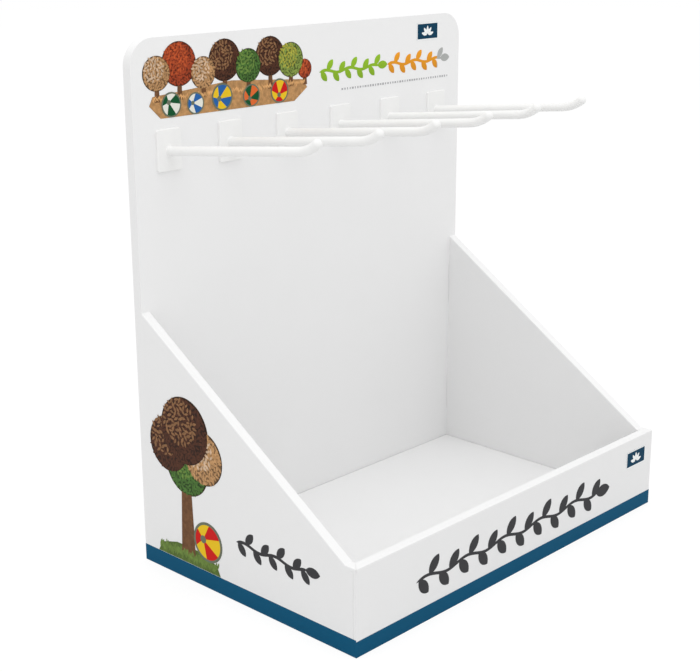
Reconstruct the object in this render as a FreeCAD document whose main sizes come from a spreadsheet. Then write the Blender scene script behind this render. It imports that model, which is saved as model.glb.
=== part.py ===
import FreeCAD, Part

"""Counter display stand of folded cardboard, with a back panel that carries six plastic hooks.

Millimetres, +Z up. The front is towards -Y, and the origin is at the middle of the footprint.
Every piece is drawn from its own origin, at the stand's front face or at the piece's seat.
"""

import math
import os

import Sketcher

# Driving dimensions: alias, value in millimetres or degrees, meaning
DIMENSIONS = [
    ("stand_width", 450.0, "across the outside of the side walls"),
    ("stand_depth", 280.0, "front face to the rear face of the back panel"),
    ("stand_height", 496.0, "ground to the top of the back panel"),
    ("lip_height", 82.0, "ground to the top of the front wall"),
    ("side_height", 249.0, "ground to the top of a side wall where it meets the back panel"),
    ("landing", 3.0, "level top of a side wall between the front wall and the slope"),
    ("board", 3.2, "thickness of the tray's corrugated board"),
    ("fold_gap", 0.2, "air between two layers of board that lie on each other"),
    ("crease_radius", 1.2, "outer radius of a crease in the board"),
    ("panel_thickness", 10.0, "thickness of the laminated back panel"),
    ("corner_radius", 25.0, "radius of the back panel's top corners"),
    ("foot_width", 26.0, "width of an inner wall's turned-in foot on the base"),
    ("flap_length", 60.0, "length of a side wall's flap inside the front wall"),
    ("tab_height", 42.0, "height of a tab on an inner side wall"),
    ("tab_margin", 34.0, "from a tab to the floor, or to the slope above it"),
    ("slot_clearance", 0.3, "air round a tab in its slot"),
    ("pad_clearance", 0.5, "air round the floor pad"),
    ("hook_edge", 39.0, "from an outer hook to the panel's side"),
    ("hook_room", 72.0, "least distance from one hook to the next"),
    ("hook_gap", 9.4, "from the header picture down to the hook plates"),
    ("hook_reach", 194.0, "front of the back panel to the tip of a hook"),
    ("plate_width", 28.0, "width of a hook plate"),
    ("plate_height", 38.5, "height of a hook plate"),
    ("plate_thickness", 2.4, "thickness of a hook plate"),
    ("plate_radius", 2.0, "corner radius of a hook plate"),
    ("plate_edge", 0.8, "rounding of a hook plate's front edge"),
    ("rod_diameter", 8.5, "diameter of a hook's rod"),
    ("rod_drop", 1.2, "from the middle of a hook plate down to its rod"),
    ("rod_rise", 6.1, "slope of a rod's straight run, in degrees"),
    ("tip_angle", 37.0, "slope of a rod's tip, in degrees"),
    ("tip_length", 4.0, "straight end of a rod after its bend"),
    ("bend_radius", 44.0, "radius of a rod's bend on its centre line"),
    ("tip_rounding", 3.8, "rounding of a rod's end face"),
    ("root_radius", 0.8, "fillet where a rod grows out of its plate"),
    ("peg_diameter", 6.0, "diameter of a hook's peg"),
    ("peg_spacing", 22.0, "from one peg of a hook to the other"),
    ("peg_clearance", 0.2, "air round a peg in the panel, on the radius"),
    ("lock_grip", 0.05, "air round a peg in its lock plate, on the radius"),
    ("lock_plate", 2.4, "thickness of the lock plate behind the panel"),
    ("label_film", 0.15, "thickness of a printed label"),
    ("stripe_height", 16.6, "ground to the top of the coloured stripe along the sides"),
    ("front_stripe_height", 15.1, "ground to the top of the coloured stripe along the front"),
    ("header_margin", 13.0, "from the back panel's side to the header picture"),
    ("header_drop", 5.0, "from the back panel's top to the header picture"),
    ("header_width", 210.0, "width of the header picture"),
    ("header_height", 67.0, "height of the header picture"),
    ("title_gap", 11.0, "from the header picture to the title"),
    ("title_margin", 16.0, "from the title to the back panel's side"),
    ("title_space", 10.0, "from the header badge down to the title"),
    ("title_height", 23.0, "height of the title"),
    ("line_space", 6.0, "from the title down to the thin line"),
    ("line_inset", 29.0, "from the title's left end to the thin line's"),
    ("line_height", 3.2, "height of the thin line"),
    ("badge_width", 34.0, "width of a badge"),
    ("badge_height", 17.5, "height of a badge"),
    ("badge_margin", 35.5, "from the header badge to the back panel's side"),
    ("badge_drop", 8.5, "from the back panel's top to the header badge"),
    ("front_badge_margin", 12.0, "from the front badge to the tray's side"),
    ("front_badge_drop", 13.5, "from the lip's top to the front badge"),
    ("tree_drop", 68.0, "from the height of a side wall's rear end down to the tree's top"),
    ("tree_gap", 0.4, "from the stripe up to the foot of the tree on the left side"),
    ("tree_setback", 55.0, "from the middle of that tree to the back panel"),
    ("front_garland_left", 76.0, "from the tray's left side to the leafy stem on the front"),
    ("front_garland_right", 30.0, "from that stem to the front badge"),
    ("front_garland_height", 36.0, "height of the front stem with its leaves"),
    ("front_garland_rise", 42.0, "ground to the middle of the front stem"),
    ("side_garland_front", 42.0, "from the front face to the leafy stem on the left side"),
    ("side_garland_rear", 16.2, "from that stem to the tree"),
    ("side_garland_height", 27.0, "height of the side stem with its leaves"),
    ("side_garland_rise", 60.0, "ground to the middle of the side stem"),
    ("stem_width", 3.0, "width of a stem"),
    ("leaf_lean", 50.0, "angle between a leaf and its stem, in degrees"),
]

DOC = FreeCAD.newDocument("display_stand")
SHEET = DOC.addObject("Spreadsheet::Sheet", "size")
for row, (alias, number, meaning) in enumerate(DIMENSIONS, start=1):
    SHEET.set(f"A{row}", meaning)
    SHEET.set(f"B{row}", str(number))
    SHEET.setAlias(f"B{row}", alias)
DOC.recompute()

# Derived places and sizes, as expressions of the sheet
WALL = "(3 * size.board + 2 * size.fold_gap)"
HOLLOW = "(size.board + 2 * size.fold_gap)"
REAR = "(size.stand_depth - size.panel_thickness)"
HALF = "(size.stand_width / 2)"
FOOT_LOW = "(size.board + size.fold_gap)"
FOOT_TOP = "(2 * size.board + size.fold_gap)"
FLOOR_TOP = "(3 * size.board + size.fold_gap)"
FRONT = "((size.label_film - size.stand_depth - size.lock_plate) / 2)"
SLOPE_START = f"({WALL} + size.landing)"
SLOPE_RUN = f"({REAR} - {SLOPE_START})"
SLOPE_RISE = "(size.side_height - size.lip_height)"
SLOPE_BOARD = f"(size.board * sqrt({SLOPE_RUN}^2 + {SLOPE_RISE}^2) / {SLOPE_RUN})"
HEADER_LOW = "(size.stand_height - size.header_drop - size.header_height)"
HOOK_RISE = f"({HEADER_LOW} - size.hook_gap - size.plate_height / 2)"
TAB_LOW = f"({FLOOR_TOP} + size.tab_margin)"
TAB_HIGH = "(size.side_height - size.tab_margin - size.tab_height)"
RISE = "size.rod_rise"
TIP = "size.tip_angle"
ACROSS_INNER = f"({HALF} - {WALL})"
ACROSS_TAB = f"({HALF} - {WALL} + size.board)"
TREE_FOOT = "(size.stripe_height + size.tree_gap)"
TREE_TALL = f"(size.side_height - size.tree_drop - {TREE_FOOT})"

# The rod's centre line, as (y, z) from the middle of the plate on the panel's face: where the sweep starts in
# the plate, where the bend starts, the bend's centre, where the bend stops and the tip
BEND_Y = f"(size.bend_radius * (sin({TIP}) - sin({RISE})) + size.tip_length * cos({TIP}) - size.hook_reach)"
BEND_Z = f"(-{BEND_Y} * tan({RISE}) - size.rod_drop)"
CENTRE_Y = f"({BEND_Y} + size.bend_radius * sin({RISE}))"
CENTRE_Z = f"({BEND_Z} + size.bend_radius * cos({RISE}))"
TURNED_Y = f"({CENTRE_Y} - size.bend_radius * sin({TIP}))"
TURNED_Z = f"({CENTRE_Z} - size.bend_radius * cos({TIP}))"
ROD_POINTS = [
    ("-size.plate_thickness / 2", f"(size.plate_thickness / 2 * tan({RISE}) - size.rod_drop)"),
    (BEND_Y, BEND_Z),
    (CENTRE_Y, CENTRE_Z),
    (TURNED_Y, TURNED_Z),
    (f"{TURNED_Y} - size.tip_length * cos({TIP})", f"{TURNED_Z} + size.tip_length * sin({TIP})"),
]


def value(expression):
    """The number that an expression of the sheet gives now."""
    return float(SHEET.evalExpression(str(expression)))


HOOK_SPACES = int((value("size.stand_width") - 2 * value("size.hook_edge")) / value("size.hook_room"))
HOOK_COUNT = HOOK_SPACES + 1
HOOK_PITCH = f"((size.stand_width - 2 * size.hook_edge) / {HOOK_SPACES})"

# Two places closer than this, in millimetres, are the same
SAME = 0.01


def new_body(label, across="0", along=FRONT, up="0"):
    """A body with its label and its place in the stand."""
    body = DOC.addObject("PartDesign::Body", label)
    body.Label = label
    body.setExpression("Placement.Base.x", across)
    body.setExpression("Placement.Base.y", along)
    body.setExpression("Placement.Base.z", up)
    return body


def new_sketch(body, name, role, shift="0"):
    """A sketch on one of the body's origin planes, shifted along that plane's normal."""
    plane = [feature for feature in body.Origin.OriginFeatures if feature.Role == role][0]
    sketch = body.newObject("Sketcher::SketchObject", name)
    sketch.AttachmentSupport = [(plane, "")]
    sketch.MapMode = "FlatFace"
    sketch.setExpression("AttachmentOffset.Base.z", shift)
    return sketch


def hold(sketch, kind, geometry, point, expression):
    """Hold one coordinate of a point at an expression of the sheet."""
    index = sketch.addConstraint(Sketcher.Constraint(kind, -1, 1, geometry, point, value(expression)))
    sketch.setExpression(f"Constraints[{index}]", str(expression))


def add_polygon(sketch, corners):
    """A closed outline whose corners are pairs of expressions."""
    points = [FreeCAD.Vector(value(first), value(second), 0) for first, second in corners]
    start = sketch.GeometryCount
    count = len(points)
    for i in range(count):
        sketch.addGeometry(Part.LineSegment(points[i], points[(i + 1) % count]), False)
    for i in range(count):
        sketch.addConstraint(Sketcher.Constraint("Coincident", start + i, 2, start + (i + 1) % count, 1))
    for i, (first, second) in enumerate(corners):
        hold(sketch, "DistanceX", start + i, 1, first)
        hold(sketch, "DistanceY", start + i, 1, second)


def add_rectangle(sketch, low, high):
    """A rectangle between two corners given as expressions."""
    add_polygon(sketch, [low, (high[0], low[1]), high, (low[0], high[1])])


def add_circle(sketch, centre, radius):
    """A circle whose centre and radius are expressions."""
    middle = FreeCAD.Vector(value(centre[0]), value(centre[1]), 0)
    index = sketch.addGeometry(Part.Circle(middle, FreeCAD.Vector(0, 0, 1), value(radius)), False)
    hold(sketch, "DistanceX", index, 3, centre[0])
    hold(sketch, "DistanceY", index, 3, centre[1])
    size = sketch.addConstraint(Sketcher.Constraint("Radius", index, value(radius)))
    sketch.setExpression(f"Constraints[{size}]", str(radius))


def add_pad(body, name, sketch, length, side="One side", reverse=False):
    """A pad of a sketch."""
    pad = body.newObject("PartDesign::Pad", name)
    pad.Profile = sketch
    pad.SideType = side
    pad.Reversed = reverse
    pad.setExpression("Length", str(length))
    DOC.recompute()
    return pad


def add_pocket(body, name, sketch, length, side="One side", reverse=False):
    """A pocket of a sketch, which has to take some of the body away."""
    before = body.Shape.Volume
    pocket = body.newObject("PartDesign::Pocket", name)
    pocket.Profile = sketch
    pocket.SideType = side
    pocket.Reversed = reverse
    pocket.setExpression("Length", str(length))
    DOC.recompute()
    if not body.Shape.Volume < before:
        raise RuntimeError(f"{name} cuts nothing")
    return pocket


def add_bevel(body, name, size, chosen, kind="PartDesign::Fillet", field="Radius"):
    """A fillet, or a chamfer, on the edges of the body that a test chooses."""
    feature = body.Tip
    edges = [f"Edge{i}" for i, edge in enumerate(feature.Shape.Edges, start=1) if chosen(edge)]
    if not edges:
        raise RuntimeError(f"{name} finds no edge")
    bevel = body.newObject(kind, name)
    bevel.Base = (feature, edges)
    bevel.setExpression(field, str(size))
    DOC.recompute()
    return bevel


def near(first, second):
    """True where two places are the same."""
    return abs(first - second) < SAME


def mirror_across(body, name, features):
    """Repeat features on the other side of the stand's middle plane."""
    plane = [feature for feature in body.Origin.OriginFeatures if feature.Role == "YZ_Plane"][0]
    mirrored = body.newObject("PartDesign::Mirrored", name)
    mirrored.Originals = features
    mirrored.MirrorPlane = (plane, [""])
    body.Tip = mirrored
    DOC.recompute()
    return mirrored


# Tray
def make_tray():
    """One folded sheet: the base, a hollow front wall and two hollow side walls that slope up to the rear."""
    body = new_body("tray")

    profile = new_sketch(body, "tray_profile", "YZ_Plane")
    add_polygon(profile, [("0", "0"), (REAR, "0"), (REAR, "size.side_height"),
                          (SLOPE_START, "size.lip_height"), ("0", "size.lip_height")])
    add_pad(body, "tray_block", profile, "size.stand_width", "Symmetric")

    inside = new_sketch(body, "tray_inside", "XY_Plane", "size.board")
    add_rectangle(inside, (f"-{ACROSS_INNER}", WALL), (ACROSS_INNER, f"{REAR} + size.board"))
    add_pocket(body, "tray_space", inside, "size.side_height", reverse=True)
    hollow = new_sketch(body, "front_hollow_profile", "YZ_Plane")
    lip_under = "size.lip_height - size.board"
    add_rectangle(hollow, ("size.board", "size.board"), (f"size.board + {HOLLOW}", lip_under))
    add_pocket(body, "front_hollow", hollow, "size.stand_width + 2 * size.board", "Symmetric")

    side = new_sketch(body, "side_hollow_profile", "YZ_Plane", f"{HALF} - size.board")
    slope_low = f"size.lip_height - {SLOPE_BOARD}"
    add_polygon(side, [("size.board", "size.board"), (f"{REAR} + size.board", "size.board"),
                       (f"{REAR} + size.board",
                        f"size.side_height - {SLOPE_BOARD} + size.board * {SLOPE_RISE} / {SLOPE_RUN}"),
                       (SLOPE_START, slope_low), ("size.board", slope_low)])
    side_hollow = add_pocket(body, "side_hollow", side, HOLLOW)
    mirror_across(body, "other_side_hollow", [side_hollow])

    gap = new_sketch(body, "base_gap_plan", "XY_Plane", "size.board")
    gap_side = f"({HALF} - size.board)"
    add_rectangle(gap, (f"-{gap_side}", "size.board"), (gap_side, f"{REAR} + size.board"))
    add_pocket(body, "base_gap", gap, "size.fold_gap", reverse=True)

    add_feet(body)
    add_flaps(body)
    add_tabs(body)
    cut_seams(body)

    half = value(HALF)
    wall = value(WALL)
    lip = value("size.lip_height")
    seam_width = value("size.fold_gap") * 2

    def top_crease(edge):
        middle = edge.CenterOfMass
        along_side = near(abs(middle.x), half) or near(abs(middle.x), half - wall)
        across_front = near(middle.x, 0) and (near(middle.y, 0) or near(middle.y, wall))
        rises = edge.BoundBox.ZMin > lip - SAME
        return rises and (across_front or (along_side and edge.BoundBox.YLength > seam_width))

    def bottom_crease(edge):
        middle = edge.CenterOfMass
        return near(edge.BoundBox.ZMax, 0) and (near(abs(middle.x), half) or near(middle.y, 0))

    def flap_crease(edge):
        middle = edge.CenterOfMass
        upright = edge.BoundBox.ZLength > seam_width
        return near(abs(middle.x), half) and near(middle.y, value(FOOT_LOW)) and upright

    add_bevel(body, "top_creases", "size.crease_radius", top_crease)
    add_bevel(body, "bottom_creases", "size.crease_radius", bottom_crease)
    add_bevel(body, "flap_creases", "size.crease_radius", flap_crease)
    return body


def add_feet(body):
    """The inner walls' feet, turned in over the base and mitred where they meet."""
    wide = f"({ACROSS_INNER} - size.fold_gap)"
    narrow = f"({ACROSS_INNER} - size.fold_gap - size.foot_width)"
    root = f"({WALL} - size.board)"
    toe = f"({WALL} + size.foot_width)"
    front_foot = new_sketch(body, "front_foot_plan", "XY_Plane", FOOT_LOW)
    add_polygon(front_foot, [(f"-{wide}", root), (wide, root), (wide, WALL), (narrow, toe),
                             (f"-{narrow}", toe), (f"-{wide}", WALL)])
    add_pad(body, "front_foot", front_foot, "size.board")
    side_foot = new_sketch(body, "side_foot_plan", "XY_Plane", FOOT_LOW)
    side_root = f"({ACROSS_INNER} + size.board)"
    side_toe = f"({ACROSS_INNER} - size.foot_width)"
    start = f"({WALL} + size.fold_gap)"
    add_polygon(side_foot, [(side_root, start), (side_root, REAR), (side_toe, REAR),
                            (side_toe, f"{start} + size.foot_width"), (ACROSS_INNER, start)])
    foot = add_pad(body, "side_foot", side_foot, "size.board")
    mirror_across(body, "other_side_foot", [foot])


def add_flaps(body):
    """The side walls' front flaps, folded round the corner into the hollow front wall."""
    plan = new_sketch(body, "corner_flap_plan", "XY_Plane", FOOT_LOW)
    start = "size.board + size.fold_gap"
    stop = "2 * size.board + size.fold_gap"
    add_polygon(plan, [(HALF, start), (HALF, WALL), (f"{HALF} - size.board", WALL),
                       (f"{HALF} - size.board", stop), (f"{HALF} - size.flap_length", stop),
                       (f"{HALF} - size.flap_length", start)])
    flap = add_pad(body, "corner_flap", plan, f"size.lip_height - 2 * {FOOT_LOW}")
    mirror_across(body, "other_corner_flap", [flap])


def add_tabs(body):
    """Two tabs on the rear edge of each inner side wall, flush with the back panel's rear face."""
    profile = new_sketch(body, "tab_profile", "YZ_Plane", ACROSS_INNER)
    for low in (TAB_LOW, TAB_HIGH):
        high = f"{low} + size.tab_height"
        add_rectangle(profile, (f"{REAR} - size.board", low), ("size.stand_depth", high))
    tabs = add_pad(body, "tabs", profile, "size.board")
    mirror_across(body, "other_tabs", [tabs])


def cut_seams(body):
    """The slits between the front wall and a side wall: through the rims and between the inner walls."""
    slit = "size.fold_gap / 2"
    past = "size.board"
    rim = new_sketch(body, "rim_seam_plan", "XY_Plane", "size.lip_height - size.board")
    add_polygon(rim, [(f"{HALF} + {past} + {slit}", f"-{past}"),
                      (f"{HALF} - {WALL} - {past} + {slit}", f"{WALL} + {past}"),
                      (f"{HALF} - {WALL} - {past} - {slit}", f"{WALL} + {past}"),
                      (f"{HALF} + {past} - {slit}", f"-{past}")])
    rim_seam = add_pocket(body, "rim_seam", rim, f"2 * {past}", reverse=True)
    mirror_across(body, "other_rim_seam", [rim_seam])

    behind = f"(size.board + {HOLLOW} - {past} / 2)"
    inner = new_sketch(body, "inner_seam_plan", "XY_Plane", "size.board")
    add_polygon(inner, [(f"{HALF} - {behind} + {slit}", behind),
                        (f"{HALF} - {WALL} - {past} + {slit}", f"{WALL} + {past}"),
                        (f"{HALF} - {WALL} - {past} - {slit}", f"{WALL} + {past}"),
                        (f"{HALF} - {behind} - {slit}", behind)])
    inner_seam = add_pocket(body, "inner_seam", inner, "size.lip_height - size.board", reverse=True)
    mirror_across(body, "other_inner_seam", [inner_seam])


# Back panel
def make_back_panel():
    """One laminated board with two round corners, slots for the tabs and holes for the pegs."""
    body = new_body("back_panel", along=f"{FRONT} + {REAR}")
    outline = new_sketch(body, "panel_outline", "XZ_Plane")
    add_rectangle(outline, (f"-{HALF}", "0"), (HALF, "size.stand_height"))
    add_pad(body, "panel", outline, "size.panel_thickness", reverse=True)
    top = value("size.stand_height")

    def top_corner(edge):
        middle = edge.CenterOfMass
        return near(abs(middle.x), value(HALF)) and near(middle.z, top) and edge.BoundBox.YLength > 1

    add_bevel(body, "panel_corners", "size.corner_radius", top_corner)

    slots = new_sketch(body, "slot_outline", "XZ_Plane")
    air = "size.slot_clearance"
    for low in (TAB_LOW, TAB_HIGH):
        for side in ("", "-"):
            inner = f"{side}({ACROSS_INNER} - {air})"
            outer = f"{side}({ACROSS_TAB} + {air})"
            add_rectangle(slots, (inner, f"{low} - {air}"), (outer, f"{low} + size.tab_height + {air}"))
    add_pocket(body, "slots", slots, "size.panel_thickness")

    holes = new_sketch(body, "peg_hole_outline", "XZ_Plane")
    for i in range(HOOK_COUNT):
        for side in ("-", ""):
            centre = (hook_place(i), f"{HOOK_RISE} + {side}size.peg_spacing / 2")
            add_circle(holes, centre, "size.peg_diameter / 2 + size.peg_clearance")
    add_pocket(body, "peg_holes", holes, "size.panel_thickness")
    return body


# Floor pad
def make_floor_pad():
    """The loose board that lies on the turned-in feet."""
    body = new_body("floor_pad", up=FOOT_TOP)
    plan = new_sketch(body, "floor_pad_plan", "XY_Plane")
    air = "size.pad_clearance"
    across = f"({ACROSS_INNER} - {air})"
    add_rectangle(plan, (f"-{across}", f"{WALL} + {air}"), (across, f"{REAR} - {air}"))
    add_pad(body, "floor_board", plan, "size.board")
    return body


# Hooks and their lock plates
def hook_place(i):
    """Where hook number i, counted from 0 at the left, stands across the panel."""
    return f"(({i} - {HOOK_SPACES} / 2) * {HOOK_PITCH})"


def make_hook(i):
    """A plate, a rod with an upturned tip, and two pegs. Its origin is on the panel's face."""
    body = new_body(f"hook_{i + 1}", hook_place(i), f"{FRONT} + {REAR}", HOOK_RISE)
    name = body.Label

    outline = new_sketch(body, f"{name}_plate_outline", "XZ_Plane")
    add_rectangle(outline, ("-size.plate_width / 2", "-size.plate_height / 2"),
                  ("size.plate_width / 2", "size.plate_height / 2"))
    add_pad(body, f"{name}_plate", outline, "size.plate_thickness")
    across = value("size.plate_width") / 2
    upward = value("size.plate_height") / 2

    def plate_corner(edge):
        middle = edge.CenterOfMass
        return near(abs(middle.x), across) and near(abs(middle.z), upward)

    add_bevel(body, f"{name}_plate_corners", "size.plate_radius", plate_corner)
    front = -value("size.plate_thickness")
    add_bevel(body, f"{name}_plate_edge", "size.plate_edge", lambda edge: near(edge.BoundBox.YMax, front))

    section = new_sketch(body, f"{name}_rod_section", "XZ_Plane", "size.plate_thickness / 2")
    square_to_rod = FreeCAD.Rotation(FreeCAD.Vector(-1, 0, 0), value(RISE))
    section.AttachmentOffset = FreeCAD.Placement(section.AttachmentOffset.Base, square_to_rod)
    section.setExpression("AttachmentOffset.Rotation.Angle", f"{RISE} * 1 deg")
    section.setExpression("AttachmentOffset.Base.y", ROD_POINTS[0][1])
    add_circle(section, ("0", "0"), "size.rod_diameter / 2")
    rod = body.newObject("PartDesign::AdditivePipe", f"{name}_rod")
    rod.Profile = section
    rod.Spine = add_rod_path(body, f"{name}_rod_path")
    DOC.recompute()
    rod_width = value("size.rod_diameter")

    def rod_root(edge):
        box = edge.BoundBox
        return near(box.YMin, front) and near(box.YMax, front) and near(box.XLength, rod_width)

    add_bevel(body, f"{name}_root", "size.root_radius", rod_root)
    add_bevel(body, f"{name}_tip", "size.tip_rounding", on_rod_end)

    pegs = new_sketch(body, f"{name}_peg_outline", "XZ_Plane")
    for side in ("-", ""):
        add_circle(pegs, ("0", f"{side}size.peg_spacing / 2"), "size.peg_diameter / 2")
    add_pad(body, f"{name}_pegs", pegs, "size.panel_thickness + size.lock_plate", reverse=True)
    return body


def add_rod_path(body, name):
    """The rod's centre line in side view: a rising run, a bend and a short straight tip."""
    sketch = new_sketch(body, name, "YZ_Plane")
    start, bend, centre, turned, end = (FreeCAD.Vector(value(y), value(z), 0) for y, z in ROD_POINTS)
    sketch.addGeometry(Part.LineSegment(start, bend), False)
    circle = Part.Circle(centre, FreeCAD.Vector(0, 0, 1), value("size.bend_radius"))
    from_angle = math.radians(270 - value(TIP))
    to_angle = math.radians(270 - value(RISE))
    sketch.addGeometry(Part.ArcOfCircle(circle, from_angle, to_angle), False)
    sketch.addGeometry(Part.LineSegment(turned, end), False)
    sketch.addConstraint(Sketcher.Constraint("Coincident", 0, 2, 1, 2))
    sketch.addConstraint(Sketcher.Constraint("Coincident", 1, 1, 2, 1))
    held = [(0, 1, ROD_POINTS[0]), (0, 2, ROD_POINTS[1]), (1, 3, ROD_POINTS[2]), (2, 2, ROD_POINTS[4])]
    for geometry, point, (y, z) in held:
        hold(sketch, "DistanceX", geometry, point, y)
        hold(sketch, "DistanceY", geometry, point, z)
    hold(sketch, "DistanceX", 1, 1, ROD_POINTS[3][0])
    return sketch


def on_rod_end(edge):
    """True for an edge of the rod's end face."""
    turned, end = (FreeCAD.Vector(0, value(y), value(z)) for y, z in ROD_POINTS[3:])
    direction = (end - turned).normalize()
    points = edge.discretize(5)
    return all(near(point.dot(direction), end.dot(direction)) for point in points)


def make_lock(i):
    """The plate behind the panel that grips the pegs of one hook. Its origin is on the panel's rear face."""
    body = new_body(f"hook_lock_{i + 1}", hook_place(i), f"{FRONT} + size.stand_depth", HOOK_RISE)
    name = body.Label
    outline = new_sketch(body, f"{name}_outline", "XZ_Plane")
    add_rectangle(outline, ("-size.plate_width / 2", "-size.plate_height / 2"),
                  ("size.plate_width / 2", "size.plate_height / 2"))
    add_pad(body, f"{name}_plate", outline, "size.lock_plate", reverse=True)
    across = value("size.plate_width") / 2
    upward = value("size.plate_height") / 2
    rear = value("size.lock_plate")
    add_bevel(body, f"{name}_corners", "size.plate_radius",
              lambda edge: near(abs(edge.CenterOfMass.x), across) and near(abs(edge.CenterOfMass.z), upward))
    add_bevel(body, f"{name}_edge", "size.plate_edge", lambda edge: near(edge.BoundBox.YMin, rear))
    holes = new_sketch(body, f"{name}_hole_outline", "XZ_Plane")
    for side in ("-", ""):
        add_circle(holes, ("0", f"{side}size.peg_spacing / 2"), "size.peg_diameter / 2 + size.lock_grip")
    add_pocket(body, f"{name}_holes", holes, "size.lock_plate")
    return body


# Printed labels: flat shapes drawn in (across, up), cut from film and laid on a face of the stand
FACING_FRONT = FreeCAD.Rotation(FreeCAD.Vector(1, 0, 0), 90)
FACING_LEFT = FreeCAD.Rotation(FreeCAD.Vector(0, 0, 1), -90) * FACING_FRONT

# The header picture, in shares of its width and height: discs as (across, up, radius), then a bank's corners.
# A radius is a share of the height.
HEADER_TREES = [(0.075, 0.60, 0.235), (0.20, 0.70, 0.30), (0.335, 0.55, 0.22), (0.46, 0.69, 0.29),
                (0.60, 0.58, 0.24), (0.735, 0.68, 0.28), (0.865, 0.60, 0.25), (0.955, 0.45, 0.14)]
HEADER_BALLS = [(0.15, 0.17, 0.17), (0.285, 0.15, 0.15), (0.44, 0.19, 0.19), (0.615, 0.16, 0.16),
                (0.79, 0.175, 0.175)]
HEADER_BANK = [(0.09, 0), (0.885, 0), (0.97, 0.18), (0.94, 0.30), (0.50, 0.40), (0.05, 0.30), (0.03, 0.18)]

# The tree on the left side, in shares of its height from the middle of its foot, drawn the same way
TREE_CROWN = [(0.00, 0.80, 0.20), (-0.14, 0.69, 0.165), (0.15, 0.68, 0.16), (0.01, 0.60, 0.18)]
TREE_BALL = (0.17, 0.18, 0.12)
TREE_TRUNK = [(-0.06, 0.05), (0.06, 0.05), (0.035, 0.60), (-0.035, 0.60)]
TREE_MOUND = [(-0.27, 0), (0.27, 0), (0.24, 0.06), (0.10, 0.10), (-0.10, 0.10), (-0.24, 0.06)]

# A leafy stem: half a leaf's width in shares of its length, the step from leaf to leaf and the stem's swing
# in shares of the whole height
LEAF_SLENDER = 0.27
LEAF_STEP = 0.38
STEM_SWING = 0.07


def disc(across, up, radius):
    """A round face."""
    return Part.Face(Part.Wire(Part.makeCircle(radius, FreeCAD.Vector(across, up, 0))))


def area(points):
    """A face with straight sides."""
    corners = [FreeCAD.Vector(across, up, 0) for across, up in points]
    return Part.Face(Part.makePolygon(corners + corners[:1]))


def bar(width, height):
    """A strip with round ends."""
    radius = height / 2
    strip = area([(radius, 0), (width - radius, 0), (width - radius, height), (radius, height)])
    return [strip, disc(radius, radius, radius), disc(width - radius, radius, radius)]


def add_film(label, faces, place, rotation):
    """One piece of film whose outline is that of all the faces together."""
    film = DOC.addObject("Part::Feature", label)
    film.Label = label
    thickness = FreeCAD.Vector(0, 0, value("size.label_film"))
    solid = faces[0].extrude(thickness)
    if len(faces) > 1:
        solid = solid.fuse([face.extrude(thickness) for face in faces[1:]]).removeSplitter().Solids[0]
    film.Shape = solid
    film.Placement = FreeCAD.Placement(place, rotation)
    return film


def on_panel(across, up):
    """A point of the back panel's front face."""
    return FreeCAD.Vector(across, value(FRONT) + value(REAR), up)


def make_stripe():
    """The coloured band round the foot of the left side, the front and the right side, lower at the front."""
    body = new_body("stripe_label", up="size.label_film")
    plan = new_sketch(body, "stripe_plan", "XY_Plane")
    outer = f"({HALF} + size.label_film)"
    front = "-size.label_film"
    rear = "size.stand_depth"
    add_polygon(plan, [(f"-{outer}", front), (outer, front), (outer, rear), (HALF, rear),
                       (HALF, "0"), (f"-{HALF}", "0"), (f"-{HALF}", rear), (f"-{outer}", rear)])
    add_pad(body, "stripe", plan, "size.stripe_height - size.label_film")
    step = new_sketch(body, "stripe_step_plan", "XY_Plane", "size.front_stripe_height - size.label_film")
    add_rectangle(step, (f"-{outer}", front), (outer, "0"))
    add_pocket(body, "stripe_step", step, "size.stripe_height", reverse=True)
    return body


def make_header_picture():
    """A row of round trees and balls on a bank."""
    width = value("size.header_width")
    height = value("size.header_height")
    discs = HEADER_TREES + HEADER_BALLS
    faces = [area([(across * width, up * height) for across, up in HEADER_BANK])]
    faces += [disc(across * width, up * height, radius * height) for across, up, radius in discs]
    left = value("size.header_margin") - value(HALF)
    return add_film("header_picture_label", faces, on_panel(left, value(HEADER_LOW)), FACING_FRONT)


def make_titles():
    """The title in two colours, the thin line under it and the badge above it."""
    panel_top = value("size.stand_height")
    panel_side = value(HALF)
    left = value("size.header_margin") + value("size.header_width") + value("size.title_gap") - panel_side
    right = panel_side - value("size.title_margin")
    badge_low = panel_top - value("size.badge_drop") - value("size.badge_height")
    title_height = value("size.title_height")
    title_low = badge_low - value("size.title_space") - title_height
    line_low = title_low - value("size.line_space") - value("size.line_height")
    half_title = (right - left) / 2
    line_left = left + value("size.line_inset")
    badge_left = panel_side - value("size.badge_margin") - value("size.badge_width")
    title_middle = title_low + title_height / 2
    return [
        add_film("header_title_left_label", garland(half_title, title_height),
                 on_panel(left, title_middle), FACING_FRONT),
        add_film("header_title_right_label", garland(half_title, title_height),
                 on_panel(left + half_title, title_middle), FACING_FRONT),
        add_film("header_line_label", bar(right - line_left, value("size.line_height")),
                 on_panel(line_left, line_low), FACING_FRONT),
        add_film("header_badge_label", [badge()], on_panel(badge_left, badge_low), FACING_FRONT),
    ]


def badge():
    """A small rectangle."""
    width = value("size.badge_width")
    height = value("size.badge_height")
    return area([(0, 0), (width, 0), (width, height), (0, height)])


def front_badge_left():
    """Where the front badge's left edge is, from the stand's middle."""
    return value(HALF) - value("size.front_badge_margin") - value("size.badge_width")


def make_front_badge():
    """The small rectangle at the right end of the front."""
    low = value("size.lip_height") - value("size.front_badge_drop") - value("size.badge_height")
    place = FreeCAD.Vector(front_badge_left(), value(FRONT), low)
    return add_film("front_badge_label", [badge()], place, FACING_FRONT)


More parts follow.
